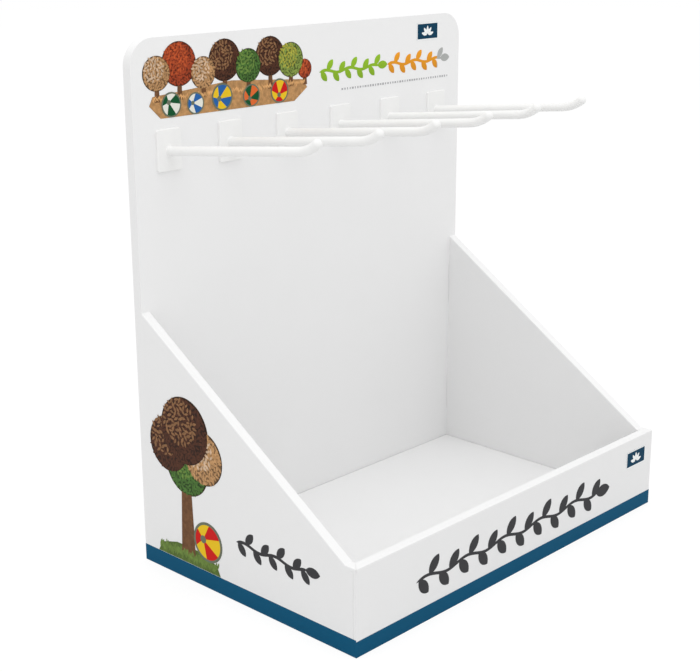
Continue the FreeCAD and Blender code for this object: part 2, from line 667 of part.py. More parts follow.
def make_side_picture():
    """A tree with a ball at its foot."""
    tall = value(TREE_TALL)
    discs = TREE_CROWN + [TREE_BALL]
    outlines = [TREE_MOUND, TREE_TRUNK]
    faces = [area([(across * tall, up * tall) for across, up in points]) for points in outlines]
    faces += [disc(across * tall, up * tall, radius * tall) for across, up, radius in discs]
    along = value(FRONT) + value(REAR) - value("size.tree_setback")
    place = FreeCAD.Vector(-value(HALF), along, value(TREE_FOOT))
    return add_film("side_picture_label", faces, place, FACING_LEFT)


def leaf(root, heading, length):
    """A pointed leaf between two arcs, from its root along a heading in radians."""
    along = FreeCAD.Vector(math.cos(heading), math.sin(heading), 0)
    belly = FreeCAD.Vector(-along.y, along.x, 0) * length * LEAF_SLENDER
    tip = root + along * length
    middle = (root + tip) / 2
    arcs = [Part.Arc(root, middle + belly, tip), Part.Arc(tip, middle - belly, root)]
    return Part.Face(Part.Wire([arc.toShape() for arc in arcs]))


def garland(length, height):
    """A waving stem from (0, 0) with leaves on both sides and one at its end, as tall as height."""
    broad = value("size.stem_width")
    lean = math.radians(value("size.leaf_lean"))
    swing = STEM_SWING * height
    leaf_length = (height / 2 - swing) / math.sin(lean)
    count = max(2, round((length - leaf_length) / (LEAF_STEP * height)))
    pitch = (length - leaf_length) / count

    def stem_point(step):
        return FreeCAD.Vector(step * pitch, swing * math.sin(math.pi * step / 2), 0)

    offset = FreeCAD.Vector(0, broad / 2, 0)
    steps = [i / 2 for i in range(2 * count + 1)]
    ends = (stem_point(0), stem_point(count))
    above = [ends[0]] + [stem_point(step) + offset for step in steps[1:-1]] + [ends[1]]
    below = [ends[0]] + [stem_point(step) - offset for step in steps[1:-1]] + [ends[1]]
    edges = []
    for points in (above, below):
        curve = Part.BSplineCurve()
        curve.interpolate(points)
        edges.append(curve.toShape())
    faces = [Part.Face(Part.Wire(edges))]
    for i in range(count):
        side = 1 if i % 2 else -1
        faces.append(leaf(stem_point(i + 0.25), side * lean, leaf_length))
    faces.append(leaf(stem_point(count - 0.25), 0, leaf_length + pitch / 4))
    return faces


def make_garlands():
    """The dark leafy stems on the front and on the left side."""
    left = value("size.front_garland_left") - value(HALF)
    front_length = front_badge_left() - value("size.front_garland_right") - left
    front_place = FreeCAD.Vector(left, value(FRONT), value("size.front_garland_rise"))
    tree_reach = value(TREE_TALL) * max(across + radius for across, up, radius in TREE_CROWN + [TREE_BALL])
    tree_front = value(REAR) - value("size.tree_setback") - tree_reach
    side_rear = tree_front - value("size.side_garland_rear")
    side_length = side_rear - value("size.side_garland_front")
    side_place = FreeCAD.Vector(-value(HALF), value(FRONT) + side_rear, value("size.side_garland_rise"))
    return [
        add_film("front_garland_label", garland(front_length, value("size.front_garland_height")),
                 front_place, FACING_FRONT),
        add_film("side_garland_label", garland(side_length, value("size.side_garland_height")),
                 side_place, FACING_LEFT),
    ]


def check(parts):
    """Stop where an object failed, or where a sub-part isn't one valid solid."""
    for thing in DOC.Objects:
        if "Invalid" in thing.State or "Error" in thing.State:
            raise RuntimeError(f"{thing.Name} failed: {thing.State}")
    for part in parts:
        if part.Shape.isNull() or not part.Shape.isValid() or len(part.Shape.Solids) != 1:
            raise RuntimeError(f"{part.Label} isn't one valid solid")


PARTS = [make_tray(), make_back_panel(), make_floor_pad()]
PARTS += [make_hook(i) for i in range(HOOK_COUNT)]
PARTS += [make_lock(i) for i in range(HOOK_COUNT)]
PARTS += [make_stripe(), make_header_picture()] + make_titles()
PARTS += [make_side_picture(), make_front_badge()] + make_garlands()
DOC.recompute()
check(PARTS)
os.makedirs("parts", exist_ok=True)
for part in PARTS:
    part.Shape.exportStep(f"parts/{part.Label}.step")
    box = part.Shape.optimalBoundingBox(False, False)
    corners = [round(number, 2) for number in (box.XMin, box.YMin, box.ZMin, box.XMax, box.YMax, box.ZMax)]
    print(part.Label, round(part.Shape.Volume), corners)
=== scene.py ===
"""Dresses the cardboard display stand: white board, plastic hooks, printed films and a studio."""

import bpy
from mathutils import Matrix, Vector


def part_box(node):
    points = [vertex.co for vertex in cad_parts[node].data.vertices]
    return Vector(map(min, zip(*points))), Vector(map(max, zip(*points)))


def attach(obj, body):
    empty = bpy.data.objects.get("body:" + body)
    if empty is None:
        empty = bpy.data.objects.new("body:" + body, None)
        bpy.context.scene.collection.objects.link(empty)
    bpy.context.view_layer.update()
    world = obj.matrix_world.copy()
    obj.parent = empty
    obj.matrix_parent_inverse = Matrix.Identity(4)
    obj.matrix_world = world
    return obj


bl_info = {
    "name": "Cardboard display stand",
    "version": (1, 0, 0),
    "blender": (4, 5, 0),
    "location": "3D View > Sidebar > Stand",
    "description": "Gives a cardboard counter display its board, plastic and print, and a studio",
    "category": "Object",
}

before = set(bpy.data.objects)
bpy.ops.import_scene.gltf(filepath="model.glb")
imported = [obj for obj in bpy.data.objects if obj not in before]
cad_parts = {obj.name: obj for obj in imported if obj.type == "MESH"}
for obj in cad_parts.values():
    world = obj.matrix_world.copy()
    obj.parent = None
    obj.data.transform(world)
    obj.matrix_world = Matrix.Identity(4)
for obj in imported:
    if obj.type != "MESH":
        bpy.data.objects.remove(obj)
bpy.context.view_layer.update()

import math

import bmesh
import bpy
from bpy.props import FloatProperty, FloatVectorProperty, IntProperty, PointerProperty
from mathutils import Matrix, Vector

MM = 0.001
HOOKS = sorted(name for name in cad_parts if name.startswith("hook_") and "lock" not in name)
LOCKS = sorted(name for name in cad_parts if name.startswith("hook_lock_"))

# The printed pictures repeat the outlines of the films under them: discs as (across, up, radius) and
# corners as (across, up), in shares of the header picture's width and height, a radius in shares of its
# height. The side picture's are all in shares of its height, from the middle of its foot.
HEADER_TREES = [(0.075, 0.60, 0.235, "gold"), (0.20, 0.70, 0.30, "rust"), (0.335, 0.55, 0.22, "gold"),
                (0.46, 0.69, 0.29, "brown"), (0.60, 0.58, 0.24, "green"), (0.735, 0.68, 0.28, "brown"),
                (0.865, 0.60, 0.25, "olive"), (0.955, 0.45, 0.14, "rust")]
HEADER_BALLS = [(0.15, 0.17, 0.17, "forest", "cream"), (0.285, 0.15, 0.15, "sea", "cream"),
                (0.44, 0.19, 0.19, "sea", "yellow"), (0.615, 0.16, 0.16, "forest", "orange"),
                (0.79, 0.175, 0.175, "red", "yellow")]
HEADER_BANK = [(0.09, 0), (0.885, 0), (0.97, 0.18), (0.94, 0.30), (0.50, 0.40), (0.05, 0.30),
               (0.03, 0.18)]
TREE_CROWN = [(0.01, 0.60, 0.18, "green"), (0.15, 0.68, 0.16, "gold"), (-0.14, 0.69, 0.165, "brown"),
              (0.00, 0.80, 0.20, "brown")]
TREE_BALL = (0.17, 0.18, 0.12, "red", "yellow")
TREE_TRUNK = [(-0.06, 0.05), (0.06, 0.05), (0.035, 0.60), (-0.035, 0.60)]
TREE_MOUND = [(-0.27, 0), (0.27, 0), (0.24, 0.06), (0.10, 0.10), (-0.10, 0.10), (-0.24, 0.06)]

# The width that the header picture's shares are of
HEADER_WIDE = 210 * MM

# Trunks end above their banks, at this many layers
TRUNK_LAYERS = 1.5

# Seeds of two crowns in a row are this far apart
SEED_STEP = 20

# The colours of foliage, each with the colour that its lit leaves lean to
FOLIAGE = {"gold": "cream", "rust": "orange", "brown": "gold", "green": "olive", "olive": "yellow"}


def linear(red, green, blue):
    """The linear colour of an sRGB colour from 0 to 255."""
    shares = [channel / 255 for channel in (red, green, blue)]
    return tuple(c / 12.92 if c <= 0.04045 else ((c + 0.055) / 1.055) ** 2.4 for c in shares)


def colour(name, description, *channels):
    """A colour that a user can change, with its default in sRGB from 0 to 255."""
    return FloatVectorProperty(name=name, description=description, default=linear(*channels),
                               subtype="COLOR", size=3, min=0, max=1)


def length(name, description, millimetres):
    """A length that a user can change, with its default in millimetres."""
    return FloatProperty(name=name, description=description, default=millimetres * MM, min=0,
                         unit="LENGTH")


class StandColours(bpy.types.PropertyGroup):
    board: colour("Board", "White liner of the tray", 235, 235, 235)
    panel: colour("Panel", "White liner of the back panel", 240, 240, 240)
    pad: colour("Pad", "Liner of the loose floor board", 237, 237, 237)
    # Painted highlight: the lighter white that faces looking up get, the wall tops of the tray and the top
    # edge of the panel.
    rims: colour("Rims", "Rims of the tray and top edge of the panel", 238, 238, 238)
    cuts: colour("Cuts", "Upright cut edges of the panel", 234, 234, 234)
    plastic: colour("Plastic", "Hooks and lock plates", 242, 242, 241)
    stripe: colour("Stripe", "Band round the foot", 9, 82, 116)
    badge: colour("Badge", "Field of the small badges", 12, 62, 88)
    badge_mark: colour("Badge mark", "Border and leaves on the badges", 246, 250, 250)
    stems: colour("Stems", "Leafy stems on the front and the side", 64, 64, 66)
    title_left: colour("Title, left", "Left part of the title", 146, 190, 44)
    title_right: colour("Title, right", "Right part of the title", 240, 158, 36)
    title_end: colour("Title, end", "Last leaves of the title", 172, 174, 172)
    fine_line: colour("Fine line", "Row of dashes under the title", 176, 176, 178)
    outline: colour("Outline", "Dark film that the pictures are printed on", 62, 46, 34)
    trunk: colour("Trunk", "Trunks of the printed trees", 120, 82, 52)
    bank: colour("Bank", "Bank under the header's trees", 198, 150, 98)
    grass: colour("Grass", "Mound under the tree on the side", 96, 120, 54)
    gold: colour("Gold", "Pale foliage", 214, 164, 112)
    rust: colour("Rust", "Red-brown foliage", 186, 76, 40)
    brown: colour("Brown", "Dark foliage", 92, 54, 36)
    green: colour("Green", "Green foliage", 86, 130, 58)
    olive: colour("Olive", "Light green foliage", 148, 170, 78)
    forest: colour("Forest", "Dark green panels of a ball", 22, 84, 48)
    sea: colour("Sea", "Blue panels of a ball", 44, 100, 168)
    red: colour("Red", "Red panels of a ball", 206, 32, 30)
    orange: colour("Orange", "Orange panels of a ball", 226, 108, 52)
    yellow: colour("Yellow", "Yellow panels of a ball", 236, 196, 40)
    cream: colour("Cream", "Pale panels of a ball", 232, 232, 222)
    rim: colour("Rim", "Edge of a ball", 110, 118, 100)


class StandSizes(bpy.types.PropertyGroup):
    layer: length("Layer", "Height of one layer of print", 0.03)
    header_leaf: length("Header leaf", "Length of a leaf in the header picture", 4.6)
    side_leaf: length("Side leaf", "Length of a leaf in the side picture", 6.4)
    leaf_spacing: FloatProperty(name="Leaf spacing", description="Distance between leaves, in leaf lengths",
                                default=0.46, min=0.2, max=2)
    leaf_width: FloatProperty(name="Leaf width", description="Width of a leaf, in leaf lengths",
                              default=0.46, min=0.1, max=1)
    ball_panels: IntProperty(name="Ball panels", description="Panels that a ball shows",
                             default=6, min=2, max=12)
    badge_border: length("Badge border", "Width of a badge's pale border", 0.9)
    dashes: IntProperty(name="Dashes", description="Dashes in the fine line", default=44, min=4, max=200)
    seed: IntProperty(name="Seed", description="Seed of the scattered leaves", default=7)


class StandStudio(bpy.types.PropertyGroup):
    camera_place: FloatVectorProperty(name="Camera", description="Where the camera stands",
                                      default=(-1.0, -0.8748, 0.605), subtype="TRANSLATION", unit="LENGTH")
    azimuth: FloatProperty(name="Azimuth", description="Turn of the view from +Y towards +X",
                           default=math.radians(46.336), unit="ROTATION")
    elevation: FloatProperty(name="Elevation", description="Tilt of the view below the horizon",
                             default=math.radians(16.773), unit="ROTATION")
    roll: FloatProperty(name="Roll", description="Turn of the picture, clockwise",
                        default=math.radians(0.196), unit="ROTATION")
    lens: FloatProperty(name="Lens", description="Focal length on a 36 mm sensor",
                        default=73.16, unit="CAMERA")
    sky: FloatProperty(name="Sky", description="Light from all round", default=0.92, min=0)
    lamp_power: FloatProperty(name="Lamp", description="Power of the lamp overhead",
                              default=26, unit="POWER")
    lamp_place: FloatVectorProperty(name="Lamp place", description="Where that lamp hangs",
                                    default=(-0.6, -0.6, 3.0), subtype="TRANSLATION", unit="LENGTH")
    lamp_size: FloatProperty(name="Lamp size", description="Side of that lamp", default=2.6, unit="LENGTH")
    floor_radius: FloatProperty(name="Floor", description="Radius of the floor", default=8.0, unit="LENGTH")
    floor_colour: colour("Floor colour", "Floor under the light", 232, 232, 232)
    floor_gap: FloatProperty(name="Floor gap", description="Air between the stand's base and the floor",
                             default=0.2 * MM, unit="LENGTH")
    floor_glow: FloatProperty(name="Floor glow", description="Share of white that the floor shows",
                              default=0.82, min=0, max=1, subtype="FACTOR")
    floor_white: FloatProperty(name="Floor white", description="Level of that white", default=1.06, min=0)


def colours():
    return bpy.context.scene.stand_colours


def sizes():
    return bpy.context.scene.stand_sizes


class Value:
    """An output socket that takes part in sums and can be put into another node."""

    def __init__(self, graph, socket):
        self.graph = graph
        self.socket = socket

    def sum(self, operation, first, second):
        return self.graph.add("ShaderNodeMath", {"operation": operation}, {0: first, 1: second})

    def __add__(self, other):
        return self.sum("ADD", self, other)

    def __radd__(self, other):
        return self.sum("ADD", other, self)

    def __sub__(self, other):
        return self.sum("SUBTRACT", self, other)

    def __rsub__(self, other):
        return self.sum("SUBTRACT", other, self)

    def __mul__(self, other):
        return self.sum("MULTIPLY", self, other)

    def __rmul__(self, other):
        return self.sum("MULTIPLY", other, self)

    def __truediv__(self, other):
        return self.sum("DIVIDE", self, other)

    def __abs__(self):
        return self.sum("ABSOLUTE", self, 0)


class Graph:
    """A node tree and the one way that a node is added to it."""

    def __init__(self, tree):
        self.tree = tree

    def add(self, kind, settings=None, sockets=None, output=None):
        """A node with its settings, then its sockets' values or links. Gives one of its outputs."""
        node = self.tree.nodes.new(kind)
        for name, setting in (settings or {}).items():
            if name == "stops":
                self.set_stops(node.color_ramp, setting)
            else:
                setattr(node, name, setting)
        for name, content in (sockets or {}).items():
            for one in content if isinstance(content, list) else [content]:
                self.put(self.find(node.inputs, name), one)
        return Value(self, self.find(node.outputs, output)) if node.outputs else node

    def find(self, sockets, name):
        """A socket by its place or its name, or the first one in use."""
        if isinstance(name, int):
            return sockets[name]
        shown = [socket for socket in sockets if socket.enabled]
        return next(socket for socket in shown
                    if name is None or name in (socket.name, socket.identifier))

    def put(self, socket, content):
        if isinstance(content, Value):
            self.tree.links.new(content.socket, socket)
        elif socket.type == "RGBA":
            socket.default_value = (*content[:3], 1)
        else:
            socket.default_value = content

    def set_stops(self, ramp, stops):
        while len(ramp.elements) < len(stops):
            ramp.elements.new(1)
        for element, (place, shade) in zip(ramp.elements, stops):
            element.position = place
            element.color = (*shade[:3], 1)

    def mix(self, factor, first, second):
        """A colour between two colours."""
        return self.add("ShaderNodeMix", {"data_type": "RGBA"},
                        {"Factor_Float": factor, "A_Color": first, "B_Color": second}, "Result_Color")


# Materials
def shade_of(tint, share):
    """A colour made darker by a share below 1, or lighter by one above 1, up to the white of paper."""
    paper_white = 0.9
    return tuple(min(channel * share, paper_white) for channel in tint)


def leaning(tint, other):
    """A colour a third of the way to another one."""
    return tuple(own + (there - own) / 3 for own, there in zip(tint, other))


def start_material(name):
    """An empty material and the graph of its nodes."""
    material = bpy.data.materials.new(name)
    material.use_nodes = True
    material.node_tree.nodes.clear()
    return material, Graph(material.node_tree)


def noise(graph, scale, detail, stretch=(1, 1, 1)):
    """Noise in object space, from 0 to 1. The scale is in waves to the metre."""
    place = graph.add("ShaderNodeTexCoord", output="Object")
    scales = tuple(scale * share for share in stretch)
    scaled = graph.add("ShaderNodeMapping", {}, {"Vector": place, "Scale": scales})
    return graph.add("ShaderNodeTexNoise", {}, {"Vector": scaled, "Scale": 1.0, "Detail": detail}, "Fac")


def end_material(graph, base, roughness, height, depth, **fixed):
    """Put a principled shader over a base colour, a roughness and a bump of a depth in metres."""
    bump = graph.add("ShaderNodeBump", {}, {"Height": height, "Strength": 1.0, "Distance": depth})
    sockets = {"Base Color": base, "Roughness": roughness, "Normal": bump}
    shader = graph.add("ShaderNodeBsdfPrincipled", {}, {**sockets, **fixed})
    graph.add("ShaderNodeOutputMaterial", {}, {"Surface": shader})


def facing(graph, axis):
    """How far a face looks along an axis, from -1 to 1."""
    normal = graph.add("ShaderNodeTexCoord", output="Normal")
    return graph.add("ShaderNodeSeparateXYZ", {}, {"Vector": normal}, axis)


def ramp(graph, value, low, high):
    """0 below one level and 1 above another, smooth between them."""
    return graph.add("ShaderNodeMapRange", {"interpolation_type": "SMOOTHSTEP"},
                     {"Value": value, "From Min": low, "From Max": high}, "Result")


def board_material(name, tint, top_highlight_tint=None, cut_tint=None):
    """Matt white liner: faint clouds, fibres that run up the board, a tint for cut edges, and a painted
    highlight, a lighter white on faces that look up.
    """
    material, graph = start_material(name)
    clouds = noise(graph, scale=14, detail=3)
    fibres = noise(graph, scale=1100, detail=2, stretch=(1, 1, 0.16))
    base = graph.mix(clouds * 0.7 + fibres * 0.3, shade_of(tint, 0.97), tint)
    if cut_tint:
        cut = ramp(graph, 1 - abs(facing(graph, "Y")), low=0.3, high=0.7)
        base = graph.mix(cut, base, cut_tint)
    # Painted highlight: faces that look up, the wall tops and the creases that turn up to them, get a
    # lighter white that stands in for the light from above.
    if top_highlight_tint:
        rim = ramp(graph, facing(graph, "Z"), low=0.35, high=0.75)
        base = graph.mix(rim, base, top_highlight_tint)
    end_material(graph, base, roughness=0.60 + fibres * 0.14, height=fibres, depth=0.02 * MM,
                 **{"Specular IOR Level": 0.2})
    return material


def plastic_material(name, tint):
    """Moulded white plastic with a soft gloss and a faint flow in its surface."""
    material, graph = start_material(name)
    flow = noise(graph, scale=60, detail=2)
    grain = noise(graph, scale=1500, detail=2)
    base = graph.mix(flow, shade_of(tint, 0.97), tint)
    end_material(graph, base, roughness=0.34 + flow * 0.08 + grain * 0.05, height=grain,
                 depth=0.012 * MM, **{"IOR": 1.46, "Specular IOR Level": 0.08})
    return material


def ink_material(name, tint, mottle=0.88):
    """Printed film: ink with a fine grain, whose darkest places are a share of its tint."""
    material, graph = start_material(name)
    grain = noise(graph, scale=900, detail=3)
    patches = noise(graph, scale=45, detail=2)
    base = graph.mix(patches * 0.6 + grain * 0.4, shade_of(tint, mottle), tint)
    end_material(graph, base, roughness=0.5 + grain * 0.12, height=grain, depth=0.01 * MM,
                 **{"Specular IOR Level": 0.06})
    return material


def title_material(name, tint, node, end_tint=None):
    """Ink that grows lighter towards the top of a title, and may change its colour near the end."""
    # The last leaves start at this share of the title's half
    end_from = 0.79
    material, graph = start_material(name)
    low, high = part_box(node)
    place = graph.add("ShaderNodeTexCoord", output="Object")
    up = graph.add("ShaderNodeSeparateXYZ", {}, {"Vector": place}, "Z")
    rise = (up - low.z) / (high.z - low.z)
    grain = noise(graph, scale=900, detail=3)
    base = graph.mix(rise * 0.8 + grain * 0.2, shade_of(tint, 0.72), shade_of(tint, 1.05))
    if end_tint:
        across = graph.add("ShaderNodeSeparateXYZ", {}, {"Vector": place}, "X")
        turn = low.x + end_from * (high.x - low.x)
        base = graph.mix(ramp(graph, across, low=turn, high=turn + MM), base, end_tint)
    end_material(graph, base, roughness=0.5 + grain * 0.12, height=grain, depth=0.01 * MM,
                 **{"Specular IOR Level": 0.12})
    return material


def foliage_material(name, tint):
    """Ink of leaves: two tones that change from leaf to leaf."""
    material, graph = start_material(name)
    patches = noise(graph, scale=260, detail=2)
    streaks = noise(graph, scale=1800, detail=2)
    spread = graph.add("ShaderNodeValToRGB", {"stops": [(0.35, (0, 0, 0)), (0.65, (1, 1, 1))]},
                       {"Fac": patches * 0.75 + streaks * 0.25})
    base = graph.mix(spread, shade_of(tint, 0.62), tint)
    end_material(graph, base, roughness=0.5 + streaks * 0.1, height=streaks, depth=0.012 * MM,
                 **{"Specular IOR Level": 0.12})
    return material


def make_inks():
    """The inks of the pictures, made once."""
    table = colours()
    for name, lit in FOLIAGE.items():
        tint = getattr(table, name)
        foliage_material(name + "_shade", shade_of(tint, share=0.3))
        foliage_material(name + "_middle", shade_of(tint, share=0.85))
        foliage_material(name + "_light", leaning(tint, getattr(table, lit)))
    for name in ("forest", "sea", "red", "orange", "yellow", "cream", "rim", "outline"):
        ink_material(name, getattr(table, name))
    for name in ("trunk", "bank", "grass"):
        foliage_material(name, getattr(table, name))
    for name in ("bank", "grass"):
        foliage_material(name + "_light", shade_of(getattr(table, name), share=1.5))


def ink(name):
    """An ink of the pictures by its name."""
    if name not in bpy.data.materials:
        make_inks()
    return bpy.data.materials[name]


def seen_directly(graph):
    """1 for what the camera sees, also in a reflection or through glass, and 0 for what only lights."""
    rays = [graph.add("ShaderNodeLightPath", output=ray) for ray in
            ("Is Camera Ray", "Is Glossy Ray", "Is Transmission Ray")]
    return graph.add("ShaderNodeMath", {"operation": "MINIMUM"}, {0: rays[0] + rays[1] + rays[2], 1: 1.0})


# Meshes
def give(node, material):
    """Give a node of the frame its material."""
    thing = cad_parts[node]
    thing.data.materials.clear()
    thing.data.materials.append(material)


def add_piece(name, mesh, place):
    """A piece of print at its place in the stand, riding on the stand."""
    mesh.transform(place)
    mesh.name = name
    piece = bpy.data.objects.new(name, mesh)
    bpy.context.scene.collection.objects.link(piece)
    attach(piece, "root")
    return piece


def facing_front(across, along, up):
    """Where a drawing in (across, up) goes on a face that looks towards -Y."""
    return Matrix.Translation((across, along, up)) @ Matrix.Rotation(math.pi / 2, 4, "X")


def facing_left(across, along, up):
    """Where a drawing goes on a face that looks towards -X."""
    turn = Matrix.Rotation(-math.pi / 2, 4, "Z") @ Matrix.Rotation(math.pi / 2, 4, "X")
    return Matrix.Translation((across, along, up)) @ turn


def add_plate(shape, corners, low, high, slot=0):
    """A flat closed plate between two heights, on corners that run anticlockwise."""
    rings = [[shape.verts.new((x, y, z)) for x, y in corners] for z in (low, high)]
    faces = [shape.faces.new(rings[1]), shape.faces.new(rings[0][::-1])]
    for i in range(len(corners)):
        j = (i + 1) % len(corners)
        faces.append(shape.faces.new((rings[0][i], rings[0][j], rings[1][j], rings[1][i])))
    for face in faces:
        face.material_index = slot


def mesh_of(shape, *materials):
    """The mesh of a shape, with its materials in the order of their slots."""
    mesh = bpy.data.meshes.new("plates")
    shape.to_mesh(mesh)
    shape.free()
    for material in materials:
        mesh.materials.append(material)
    return mesh


# Geometry nodes
def start_nodes(name, inputs):
    """A geometry tree whose inputs are (name, kind, default), and the values of those inputs."""
    tree = bpy.data.node_groups.new(name, "GeometryNodeTree")
    tree.interface.new_socket("Geometry", in_out="OUTPUT", socket_type="NodeSocketGeometry")
    for label, kind, default in inputs:
        socket = tree.interface.new_socket(label, in_out="INPUT", socket_type="NodeSocket" + kind)
        if default is not None:
            socket.default_value = default
    graph = Graph(tree)
    entry = tree.nodes.new("NodeGroupInput")
    return graph, {label: Value(graph, entry.outputs[label]) for label, kind, default in inputs}


def paint(graph, geometry, material, selection=True):
    """Make instances real and give them their material."""
    real = graph.add("GeometryNodeRealizeInstances", {}, {"Geometry": geometry})
    return graph.add("GeometryNodeSetMaterial", {},
                     {"Geometry": real, "Selection": selection, "Material": material})


def end_nodes(graph, painted):
    """End a tree with its painted parts."""
    joined = graph.add("GeometryNodeJoinGeometry", {}, {"Geometry": painted})
    graph.add("NodeGroupOutput", {}, {"Geometry": joined})


def thicken(graph, face, height):
    """A closed plate over a flat face that looks up."""
    same_place = 0.001 * MM
    top = graph.add("GeometryNodeExtrudeMesh", {"mode": "FACES"},
                    {"Mesh": face, "Offset Scale": height, "Individual": False}, "Mesh")
    under = graph.add("GeometryNodeFlipFaces", {}, {"Mesh": face})
    both = graph.add("GeometryNodeJoinGeometry", {}, {"Geometry": [top, under]})
    return graph.add("GeometryNodeMergeByDistance", {}, {"Geometry": both, "Distance": same_place})


def round_face(graph, corners, radius, fill="NGON"):
    """A flat face with its corners on a circle."""
    return graph.add("GeometryNodeMeshCircle", {"fill_type": fill},
                     {"Vertices": corners, "Radius": radius})


def vector(graph, x, y, z):
    """A vector from three numbers or values."""
    return graph.add("ShaderNodeCombineXYZ", {}, {"X": x, "Y": y, "Z": z})


def random_number(graph, low, high, seed):
    """A number between two others, drawn for each point."""
    return graph.add("FunctionNodeRandomValue", {"data_type": "FLOAT"},
                     {"Min": low, "Max": high, "Seed": seed}, "Value")


def leaf_shape(graph, size, width, height):
    """A closed pointed leaf along X, its width in shares of its size."""
    ring = round_face(graph, corners=8, radius=1.0)
    place = graph.add("GeometryNodeInputPosition")
    x = graph.add("ShaderNodeSeparateXYZ", {}, {"Vector": place}, "X")
    y = graph.add("ShaderNodeSeparateXYZ", {}, {"Vector": place}, "Y")
    slim = y * abs(y) * width * size / 2
    outline = graph.add("GeometryNodeSetPosition", {},
                        {"Geometry": ring, "Position": vector(graph, x * size / 2, slim, 0.0)})
    return thicken(graph, outline, height)


def scatter_leaves(graph, leaf, radius, spacing, seed, low, layer):
    """Leaves that lie every way on a disc, each a little higher or lower than the next."""
    # More leaves to the square metre than their spacing lets in
    crowded = 4.0e6
    disc = round_face(graph, corners=24, radius=radius)
    spots = graph.add("GeometryNodeDistributePointsOnFaces", {"distribute_method": "POISSON"}, {
        "Mesh": disc, "Distance Min": spacing, "Density Max": crowded, "Seed": seed}, "Points")
    lift = random_number(graph, low, low + layer, seed + 1)
    raised = graph.add("GeometryNodeSetPosition", {},
                       {"Geometry": spots, "Offset": vector(graph, 0.0, 0.0, lift)})
    heading = random_number(graph, 0.0, 2 * math.pi, seed + 2)
    scale = random_number(graph, 0.75, 1.15, seed + 3)
    return graph.add("GeometryNodeInstanceOnPoints", {},
                     {"Points": raised, "Instance": leaf, "Rotation": vector(graph, 0.0, 0.0, heading),
                      "Scale": vector(graph, scale, scale, 1.0)})


def crown_nodes():
    """A round crown: a dark disc, leaves all over it and lit ones towards the upper left."""
    # Shares of the radius: the dark disc, the patch of lit leaves, and how far that lies left and up
    disc_share = 0.97
    lit_share = 0.66
    lit_left = 0.2
    lit_up = 0.24
    # How far the leaves' middles keep from the crown's edge, in leaf lengths
    edge_room = 0.36
    # How much wider the lit leaves are spaced
    lit_spacing = 1.35
    # Where the lowest leaves and the lowest lit leaves start, in layers
    leaves_from = 0.4
    lit_from = 1.6
    graph, given = start_nodes("crown", [
        ("Radius", "Float", 0.02), ("Leaf", "Float", 0.005), ("Width", "Float", 0.46),
        ("Spacing", "Float", 0.46), ("Layer", "Float", 0.00003), ("Seed", "Int", 0),
        ("Shade", "Material", None), ("Middle", "Material", None), ("Light", "Material", None)])
    radius, layer, seed = given["Radius"], given["Layer"], given["Seed"]
    disc = thicken(graph, round_face(graph, corners=40, radius=radius * disc_share), layer)
    base = paint(graph, disc, given["Shade"])
    leaf = leaf_shape(graph, given["Leaf"], given["Width"], layer)
    spacing = given["Spacing"] * given["Leaf"]
    spread = radius - given["Leaf"] * edge_room
    middle = scatter_leaves(graph, leaf, spread, spacing, seed, layer * leaves_from, layer)
    lit = scatter_leaves(graph, leaf, radius * lit_share, spacing * lit_spacing, seed + 10,
                         layer * lit_from, layer)
    lit_place = vector(graph, radius * -lit_left, radius * lit_up, 0.0)
    moved = graph.add("GeometryNodeTransform", {}, {"Geometry": lit, "Translation": lit_place})
    leaves = [paint(graph, middle, given["Middle"]), paint(graph, moved, given["Light"])]
    end_nodes(graph, [base, *leaves])
    return graph.tree


def ball_nodes():
    """A ball: a rim, and panels of two colours that meet at a point off its middle."""
    # Edges along the outside of one panel
    panel_edges = 6
    # Shares of the radius: the panels' disc, how far their meeting point lies left and up, the cap
    # over that point, and how near the middle a corner of the disc counts as that point
    disc_share = 0.87
    hub_left = 0.26
    hub_up = 0.2
    cap_share = 0.2
    near_middle = 0.1
    graph, given = start_nodes("ball", [
        ("Radius", "Float", 0.01), ("Panels", "Int", 6), ("Layer", "Float", 0.00003),
        ("Twist", "Float", 0.3), ("First", "Material", None), ("Second", "Material", None),
        ("Rim", "Material", None)])
    radius, layer = given["Radius"], given["Layer"]
    rim = paint(graph, thicken(graph, round_face(graph, corners=36, radius=radius), layer), given["Rim"])
    fan = round_face(graph, given["Panels"] * panel_edges, radius * disc_share, "TRIANGLE_FAN")
    index = graph.add("GeometryNodeInputIndex")
    place = graph.add("GeometryNodeInputPosition")
    from_middle = graph.add("ShaderNodeVectorMath", {"operation": "LENGTH"}, {0: place}, "Value")
    is_hub = graph.add("FunctionNodeCompare", {"data_type": "FLOAT", "operation": "LESS_THAN"},
                       {"A": from_middle, "B": radius * near_middle}, "Result")
    hub = graph.add("GeometryNodeSetPosition", {}, {
        "Geometry": fan, "Selection": is_hub,
        "Offset": vector(graph, radius * -hub_left, radius * hub_up, 0.0)})
    panel = graph.add("ShaderNodeMath", {"operation": "FLOOR"}, {0: index / panel_edges})
    odd = graph.add("ShaderNodeMath", {"operation": "MODULO"}, {0: panel, 1: 2.0})
    first = paint(graph, hub, given["First"])
    striped = paint(graph, first, given["Second"], odd)
    body = thicken(graph, striped, layer)
    cap_plate = thicken(graph, round_face(graph, corners=20, radius=radius * cap_share), layer)
    cap = graph.add("GeometryNodeTransform", {}, {
        "Geometry": paint(graph, cap_plate, given["Rim"]),
        "Translation": vector(graph, radius * -hub_left, radius * hub_up, layer)})
    capped = graph.add("GeometryNodeJoinGeometry", {}, {"Geometry": [body, cap]})
    turned = graph.add("GeometryNodeTransform", {}, {
        "Geometry": capped, "Translation": vector(graph, 0.0, 0.0, layer),
        "Rotation": vector(graph, 0.0, 0.0, given["Twist"])})
    end_nodes(graph, [rim, turned])
    return graph.tree


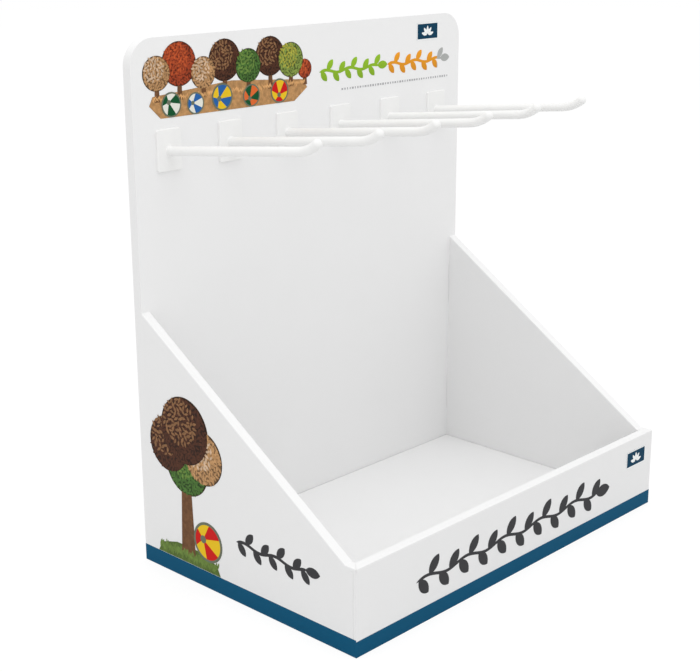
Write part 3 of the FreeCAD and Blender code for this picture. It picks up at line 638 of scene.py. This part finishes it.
def dash_nodes():
    """A row of dashes of uneven length and height."""
    # The longest dash in shares of a step, and the shortest and the lowest in shares of that
    longest = 0.78
    shortest = 0.45
    lowest = 0.75
    graph, given = start_nodes("dashes", [
        ("Length", "Float", 0.17), ("Number", "Int", 40), ("Height", "Float", 0.002),
        ("Layer", "Float", 0.00003), ("Seed", "Int", 0), ("Ink", "Material", None)])
    step = given["Length"] / given["Number"]
    row = graph.add("GeometryNodeMeshLine", {"mode": "OFFSET"}, {
        "Count": given["Number"], "Start Location": vector(graph, step * 0.5, 0.0, 0.0),
        "Offset": vector(graph, step, 0.0, 0.0)})
    dash = graph.add("GeometryNodeMeshCube", {}, {
        "Size": vector(graph, step * longest, given["Height"], given["Layer"])}, "Mesh")
    long = random_number(graph, shortest, 1.0, given["Seed"])
    tall = random_number(graph, lowest, 1.0, given["Seed"] + 1)
    dashes = graph.add("GeometryNodeInstanceOnPoints", {}, {
        "Points": row, "Instance": dash, "Scale": vector(graph, long, tall, 1.0)})
    end_nodes(graph, [paint(graph, dashes, given["Ink"])])
    return graph.tree


def tuft_nodes():
    """Blades of grass along a line, leaning both ways."""
    # The most that a blade leans from upright, its width and how far it is off the line in its lengths
    lean_most = 42
    blade_width = 0.26
    off_line = 0.25
    graph, given = start_nodes("tufts", [
        ("Start", "Vector", (0, 0, 0)), ("End", "Vector", (0.1, 0, 0)), ("Number", "Int", 60),
        ("Blade", "Float", 0.006), ("Layer", "Float", 0.00003), ("Seed", "Int", 0),
        ("Ink", "Material", None)])
    row = graph.add("GeometryNodeMeshLine", {"mode": "END_POINTS"}, {
        "Count": given["Number"], "Start Location": given["Start"], "Offset": given["End"]})
    blade = leaf_shape(graph, given["Blade"], blade_width, given["Layer"])
    lean = random_number(graph, math.radians(90 - lean_most), math.radians(90 + lean_most), given["Seed"])
    sway = random_number(graph, -1.0, 1.0, given["Seed"] + 1)
    lift = random_number(graph, 0.0, 1.0, given["Seed"] + 2)
    offset = vector(graph, 0.0, sway * given["Blade"] * off_line, lift * given["Layer"])
    moved = graph.add("GeometryNodeSetPosition", {}, {"Geometry": row, "Offset": offset})
    blades = graph.add("GeometryNodeInstanceOnPoints", {}, {
        "Points": moved, "Instance": blade, "Rotation": vector(graph, 0.0, 0.0, lean)})
    end_nodes(graph, [paint(graph, blades, given["Ink"])])
    return graph.tree


def fan_nodes():
    """Leaves that spread from one point."""
    # A leaf's width and how far its middle is from that point, in its lengths
    leaf_width = 0.42
    reach = 0.62
    graph, given = start_nodes("leaf_fan", [
        ("Leaf", "Float", 0.006), ("Number", "Int", 5), ("Spread", "Float", 2.4),
        ("Layer", "Float", 0.00003), ("Ink", "Material", None)])
    spots = graph.add("GeometryNodeMeshLine", {"mode": "OFFSET"}, {
        "Count": given["Number"], "Start Location": (0, 0, 0), "Offset": (0, 0, 0)})
    index = graph.add("GeometryNodeInputIndex")
    heading = (index / (given["Number"] - 1) - 0.5) * given["Spread"] + math.pi / 2
    leaf = leaf_shape(graph, given["Leaf"], leaf_width, given["Layer"])
    out = graph.add("GeometryNodeTransform", {}, {
        "Geometry": leaf, "Translation": vector(graph, given["Leaf"] * reach, 0.0, 0.0)})
    fan = graph.add("GeometryNodeInstanceOnPoints", {}, {
        "Points": spots, "Instance": out, "Rotation": vector(graph, 0.0, 0.0, heading)})
    end_nodes(graph, [paint(graph, fan, given["Ink"])])
    return graph.tree


def grown(tree_maker, **inputs):
    """The plain mesh that a geometry tree makes with these inputs."""
    name = tree_maker.__name__
    tree = bpy.data.node_groups.get(name) or tree_maker()
    tree.name = name
    holder = bpy.data.objects.new("holder", bpy.data.meshes.new("holder"))
    bpy.context.scene.collection.objects.link(holder)
    modifier = holder.modifiers.new("grow", "NODES")
    modifier.node_group = tree
    for socket in tree.interface.items_tree:
        key = socket.name.lower()
        if socket.in_out == "INPUT" and key in inputs:
            modifier[socket.identifier] = inputs[key]
    holder.update_tag()
    shown = holder.evaluated_get(bpy.context.evaluated_depsgraph_get())
    mesh = bpy.data.meshes.new_from_object(shown)
    holder.modifiers.remove(modifier)
    bpy.data.objects.remove(holder)
    return mesh


def crown(radius, leaf, foliage, seed):
    """The crown of a printed tree."""
    size = sizes()
    return grown(crown_nodes, radius=radius, leaf=leaf, width=size.leaf_width, spacing=size.leaf_spacing,
                 layer=size.layer, seed=size.seed + seed, shade=ink(foliage + "_shade"),
                 middle=ink(foliage + "_middle"), light=ink(foliage + "_light"))


def ball(radius, first, second, twist):
    """A printed ball of two colours."""
    size = sizes()
    return grown(ball_nodes, radius=radius, panels=size.ball_panels, layer=size.layer, twist=twist,
                 first=ink(first), second=ink(second), rim=ink("rim"))


class StandOperator:
    """What the stand's operators share."""

    bl_options = {"REGISTER", "UNDO"}


class STAND_OT_board(StandOperator, bpy.types.Operator):
    """Give the tray, the back panel and the floor pad their white liner"""

    bl_idname = "stand.board"
    bl_label = "Board"

    def execute(self, context):
        table = colours()
        give("tray", board_material("tray_board", table.board, table.rims))
        give("back_panel", board_material("panel_board", table.panel, table.rims, table.cuts))
        give("floor_pad", board_material("pad_board", table.pad))
        return {"FINISHED"}


class STAND_OT_hooks(StandOperator, bpy.types.Operator):
    """Give the hooks and their lock plates their plastic"""

    bl_idname = "stand.hooks"
    bl_label = "Hooks"

    def execute(self, context):
        material = plastic_material("hook_plastic", colours().plastic)
        for node in HOOKS + LOCKS:
            give(node, material)
        return {"FINISHED"}


class STAND_OT_films(StandOperator, bpy.types.Operator):
    """Print the stripe, the leafy stems, the title and the film under the pictures"""

    bl_idname = "stand.films"
    bl_label = "Films"

    def execute(self, context):
        table = colours()
        give("stripe_label", ink_material("stripe_blue", table.stripe, mottle=0.93))
        stems = ink_material("print_grey", table.stems)
        give("front_garland_label", stems)
        give("side_garland_label", stems)
        halves = {"left": (table.title_left, None), "right": (table.title_right, table.title_end)}
        for side, (tint, end_tint) in halves.items():
            node = f"header_title_{side}_label"
            give(node, title_material(f"title_{side}", tint, node, end_tint))
        for node in ("header_picture_label", "side_picture_label"):
            give(node, ink("outline"))
        return {"FINISHED"}


class STAND_OT_fine_line(StandOperator, bpy.types.Operator):
    """Print the row of small dashes under the title"""

    bl_idname = "stand.fine_line"
    bl_label = "Fine line"

    def execute(self, context):
        # The dashes' height in shares of the film's
        dash_share = 0.72
        size = sizes()
        give("header_line_label", board_material("clear_film", colours().panel))
        low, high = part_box("header_line_label")
        tall = high.z - low.z
        grey = ink_material("fine_line", colours().fine_line)
        mesh = grown(dash_nodes, length=high.x - low.x - tall, number=size.dashes,
                     height=tall * dash_share, layer=size.layer, seed=size.seed, ink=grey)
        place = facing_front(low.x + tall / 2, low.y - size.layer / 2, (low.z + high.z) / 2)
        add_piece("header_dashes", mesh, place)
        return {"FINISHED"}


class STAND_OT_badges(StandOperator, bpy.types.Operator):
    """Print the badges: a dark field with a pale border and a fan of leaves"""

    bl_idname = "stand.badges"
    bl_label = "Badges"

    def execute(self, context):
        # A leaf's length and how high the leaves' common foot is, in shares of the badge's height
        leaf_share = 0.5
        foot_share = 0.27
        # The angle between the first leaf and the last
        spread = math.radians(150)
        size = sizes()
        field = ink_material("badge_blue", colours().badge)
        pale = ink_material("badge_mark", colours().badge_mark, mottle=0.96)
        for name in ("header_badge", "front_badge"):
            node = name + "_label"
            give(node, field)
            low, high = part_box(node)
            wide, tall = high.x - low.x, high.z - low.z
            shape = bmesh.new()
            border = size.badge_border
            inner_wide, inner_tall = wide - border, tall - border
            bars = [(0, 0, wide, border), (0, inner_tall, wide, tall), (0, border, border, inner_tall),
                    (inner_wide, border, wide, inner_tall)]
            for left, bottom, right, top in bars:
                corners = [(left, bottom), (right, bottom), (right, top), (left, top)]
                add_plate(shape, corners, 0, size.layer)
            place = facing_front(low.x, low.y, low.z)
            add_piece(f"{name}_border", mesh_of(shape, pale), place)
            mesh = grown(fan_nodes, leaf=tall * leaf_share, number=5, spread=spread, layer=size.layer,
                         ink=pale)
            place = facing_front((low.x + high.x) / 2, low.y, low.z + tall * foot_share)
            add_piece(f"{name}_leaves", mesh, place)
        return {"FINISHED"}


class STAND_OT_header_picture(StandOperator, bpy.types.Operator):
    """Print the row of round trees and balls on the header"""

    bl_idname = "stand.header_picture"
    bl_label = "Header picture"

    def execute(self, context):
        # Shares of the picture's height: half a trunk's width at its top, how many times as wide its
        # foot is, the height of that foot and of the line of grass
        trunk_half = 0.028
        trunk_flare = 1.6
        trunk_foot = 0.22
        grass_up = 0.26
        # Where the grass starts and ends across the picture
        grass_from = 0.05
        grass_to = 0.95
        # How many layers the pieces lie above the film
        far_trees = 2
        near_trees = 5
        grass_layers = 8
        ball_layers = 10
        # How much each ball is turned more than the one before it
        twist_step = 0.5
        size = sizes()
        low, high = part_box("header_picture_label")
        tall = high.z - low.z
        wide = HEADER_WIDE
        layer = size.layer

        def place(across, up, depth):
            return facing_front(low.x + across, low.y - depth, low.z + up)

        shape = bmesh.new()
        bank = [(across * wide, up * tall) for across, up in HEADER_BANK]
        add_plate(shape, bank, 0, layer, 0)
        half = trunk_half * tall
        foot_half = half * trunk_flare
        foot = trunk_foot * tall
        for across, up, *_ in HEADER_TREES:
            middle = across * wide
            trunk = [(middle - foot_half, foot), (middle + foot_half, foot),
                     (middle + half, up * tall), (middle - half, up * tall)]
            add_plate(shape, trunk, 0, layer * TRUNK_LAYERS, 1)
        mesh = mesh_of(shape, ink("bank"), ink("trunk"))
        add_piece("header_bank", mesh, place(0, 0, 0))
        for i, (across, up, radius, foliage) in enumerate(HEADER_TREES):
            mesh = crown(radius * tall, size.header_leaf, foliage, SEED_STEP * i)
            at = place(across * wide, up * tall, layer * (far_trees if i % 2 else near_trees))
            add_piece(f"header_tree_{i + 1}", mesh, at)
        mesh = grown(tuft_nodes, start=(grass_from * wide, grass_up * tall, 0),
                     end=(grass_to * wide, grass_up * tall, 0), number=150, blade=5 * MM, layer=layer,
                     seed=size.seed, ink=ink("bank_light"))
        add_piece("header_grass", mesh, place(0, 0, layer * grass_layers))
        for i, (across, up, radius, first, second) in enumerate(HEADER_BALLS):
            mesh = ball(radius * tall, first, second, twist_step * i)
            at = place(across * wide, up * tall, layer * ball_layers)
            add_piece(f"header_ball_{i + 1}", mesh, at)
        return {"FINISHED"}


class STAND_OT_side_picture(StandOperator, bpy.types.Operator):
    """Print the tree with a ball at its foot on the left side"""

    bl_idname = "stand.side_picture"
    bl_label = "Side picture"

    def execute(self, context):
        # Half the length of the line of grass and its height, in shares of the picture's height
        grass_half = 0.25
        grass_up = 0.05
        # How many layers the grass, the first crown and the ball lie above the film, and how many more
        # each crown lies above the one before it
        grass_layers = 2
        first_crown = 2
        crown_step = 3
        ball_layers = 4
        # The side's seeds start here, clear of the header's
        first_seed = 300
        grass_seed = 9
        size = sizes()
        low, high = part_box("side_picture_label")
        tall = high.z - low.z
        layer = size.layer
        middle = high.y - tall * max(radius - across for across, up, radius, foliage in TREE_CROWN)

        def place(across, up, depth):
            return facing_left(low.x - depth, middle - across, low.z + up)

        shape = bmesh.new()
        for corners, top, slot in ((TREE_MOUND, layer, 0), (TREE_TRUNK, layer * TRUNK_LAYERS, 1)):
            add_plate(shape, [(across * tall, up * tall) for across, up in corners], 0, top, slot)
        mesh = mesh_of(shape, ink("grass"), ink("trunk"))
        add_piece("side_mound", mesh, place(0, 0, 0))
        for i, (across, up, radius, foliage) in enumerate(TREE_CROWN):
            mesh = crown(radius * tall, size.side_leaf, foliage, first_seed + SEED_STEP * i)
            at = place(across * tall, up * tall, layer * (first_crown + crown_step * i))
            add_piece(f"side_crown_{i + 1}", mesh, at)
        mesh = grown(tuft_nodes, start=(-grass_half * tall, grass_up * tall, 0),
                     end=(grass_half * tall, grass_up * tall, 0), number=70, blade=9 * MM, layer=layer,
                     seed=size.seed + grass_seed, ink=ink("grass_light"))
        add_piece("side_grass", mesh, place(0, 0, layer * grass_layers))
        across, up, radius, first, second = TREE_BALL
        mesh = ball(radius * tall, first, second, twist=0.4)
        at = place(across * tall, up * tall, layer * ball_layers)
        add_piece("side_ball", mesh, at)
        return {"FINISHED"}


class STAND_OT_studio(StandOperator, bpy.types.Operator):
    """Set up the floor, the light and the camera"""

    bl_idname = "stand.studio"
    bl_label = "Studio"

    def execute(self, context):
        studio = context.scene.stand_studio
        self.add_floor(context, studio)
        self.add_light(context, studio)
        self.add_camera(context, studio)
        context.scene.view_settings.view_transform = "Standard"
        return {"FINISHED"}

    def add_floor(self, context, studio):
        shape = bmesh.new()
        bmesh.ops.create_circle(shape, cap_ends=True, segments=96, radius=studio.floor_radius)
        material, graph = start_material("studio_floor")
        white = graph.add("ShaderNodeBsdfDiffuse", {}, {"Color": studio.floor_colour})
        glow = graph.add("ShaderNodeEmission", {}, {"Color": (1, 1, 1), "Strength": studio.floor_white})
        mixed = graph.add("ShaderNodeMixShader", {}, {
            0: seen_directly(graph) * studio.floor_glow, 1: white, 2: glow})
        graph.add("ShaderNodeOutputMaterial", {}, {"Surface": mixed})
        floor = bpy.data.objects.new("studio_floor", mesh_of(shape, material))
        floor.location.z = -studio.floor_gap
        context.scene.collection.objects.link(floor)

    def add_light(self, context, studio):
        world = bpy.data.worlds.new("studio_world")
        world.use_nodes = True
        world.node_tree.nodes.clear()
        graph = Graph(world.node_tree)
        strength = studio.sky + seen_directly(graph) * (1 - studio.sky)
        sky = graph.add("ShaderNodeBackground", {}, {"Color": (1, 1, 1), "Strength": strength})
        graph.add("ShaderNodeOutputWorld", {}, {"Surface": sky})
        context.scene.world = world
        lamp = bpy.data.lights.new("overhead", "AREA")
        lamp.energy = studio.lamp_power
        lamp.size = studio.lamp_size
        thing = bpy.data.objects.new("overhead", lamp)
        thing.location = studio.lamp_place
        thing.rotation_euler = (-thing.location).to_track_quat("-Z", "Y").to_euler()
        context.scene.collection.objects.link(thing)

    def add_camera(self, context, studio):
        view = bpy.data.cameras.new("camera")
        view.lens = studio.lens
        view.sensor_width = 36.0
        camera = bpy.data.objects.new("camera", view)
        level = math.cos(studio.elevation)
        ahead = Vector((math.sin(studio.azimuth) * level, math.cos(studio.azimuth) * level,
                        -math.sin(studio.elevation)))
        turn = ahead.to_track_quat("-Z", "Y").to_matrix().to_4x4() @ Matrix.Rotation(-studio.roll, 4, "Z")
        camera.matrix_world = Matrix.Translation(studio.camera_place) @ turn
        context.scene.collection.objects.link(camera)
        context.scene.camera = camera


class STAND_PT_panel(bpy.types.Panel):
    """The stand's sizes, colours and steps"""

    bl_label = "Display stand"
    bl_space_type = "VIEW_3D"
    bl_region_type = "UI"
    bl_category = "Stand"

    def draw(self, context):
        for step in STEPS:
            self.layout.operator(step.bl_idname)
        for group in (context.scene.stand_sizes, context.scene.stand_studio, context.scene.stand_colours):
            box = self.layout.box()
            for name in group.__annotations__:
                box.prop(group, name)


STEPS = (STAND_OT_board, STAND_OT_hooks, STAND_OT_films, STAND_OT_fine_line, STAND_OT_badges,
         STAND_OT_header_picture, STAND_OT_side_picture, STAND_OT_studio)
GROUPS = {"stand_colours": StandColours, "stand_sizes": StandSizes, "stand_studio": StandStudio}


def register():
    for group in (*GROUPS.values(), *STEPS, STAND_PT_panel):
        bpy.utils.register_class(group)
    for name, group in GROUPS.items():
        setattr(bpy.types.Scene, name, PointerProperty(type=group))


def unregister():
    for name in GROUPS:
        delattr(bpy.types.Scene, name)
    for group in (STAND_PT_panel, *STEPS, *GROUPS.values()):
        bpy.utils.unregister_class(group)


def main():
    register()
    for step in (bpy.ops.stand.board, bpy.ops.stand.hooks, bpy.ops.stand.films, bpy.ops.stand.fine_line,
                 bpy.ops.stand.badges, bpy.ops.stand.header_picture, bpy.ops.stand.side_picture,
                 bpy.ops.stand.studio):
        step()


if __name__ == "__main__":
    main()
